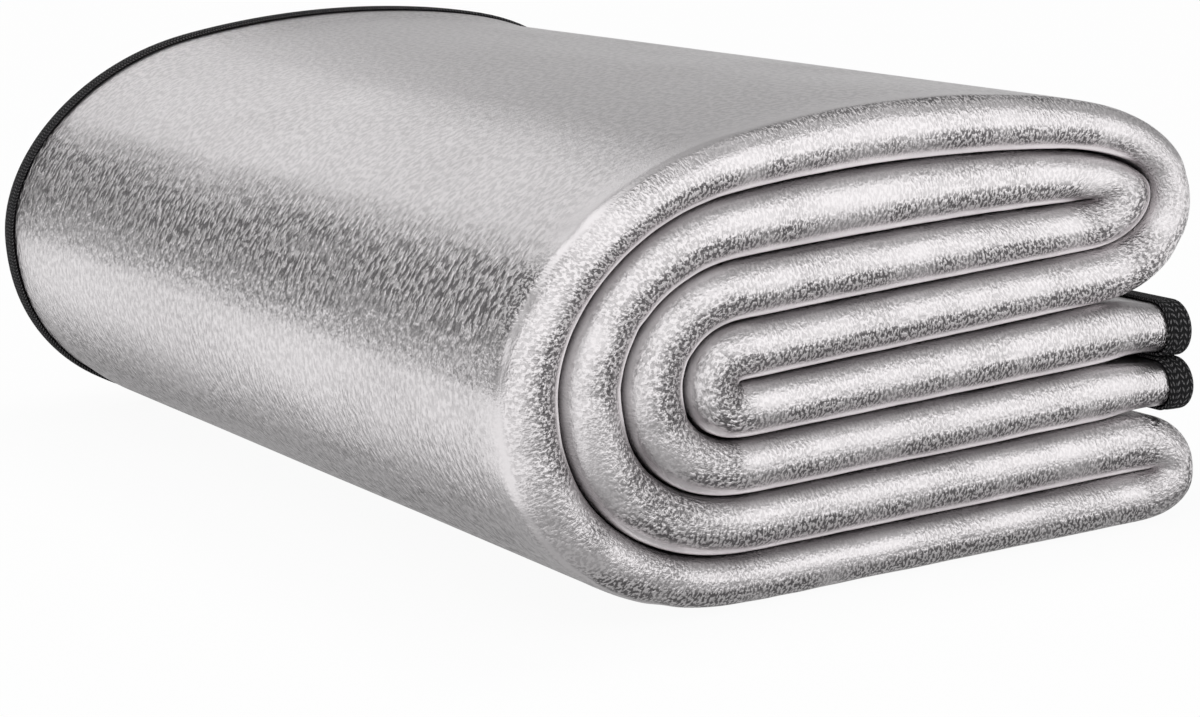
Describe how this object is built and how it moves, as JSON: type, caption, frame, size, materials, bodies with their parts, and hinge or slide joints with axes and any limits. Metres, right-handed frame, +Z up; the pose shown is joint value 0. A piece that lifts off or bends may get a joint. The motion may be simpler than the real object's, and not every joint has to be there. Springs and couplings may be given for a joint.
{
  "type": "folded foil picnic mat",
  "caption": "Thick foil-faced foam picnic mat, halved and folded back and forth into a neat stack, bound along its edges with woven tape.",
  "frame": {"origin": "bottom centre of the bounding box, on the ground under the folded stack", "axes": "+Z up; +Y runs back from the rounded fold that halves the mat to its bound long edges; +X runs to the side where the two bound short ends lie"},
  "size_m": [0.2806, 0.497, 0.1669],
  "materials": {
    "foil": "satin crinkled foil laminated on foam",
    "binding": "matte woven tape"
  },
  "bodies": {
    "root": {"foil_mat": "foil", "long_tape_outer": "binding", "long_tape_inner": "binding", "end_tape_upper": "binding", "end_tape_lower": "binding"}
  },
  "joints": []
}
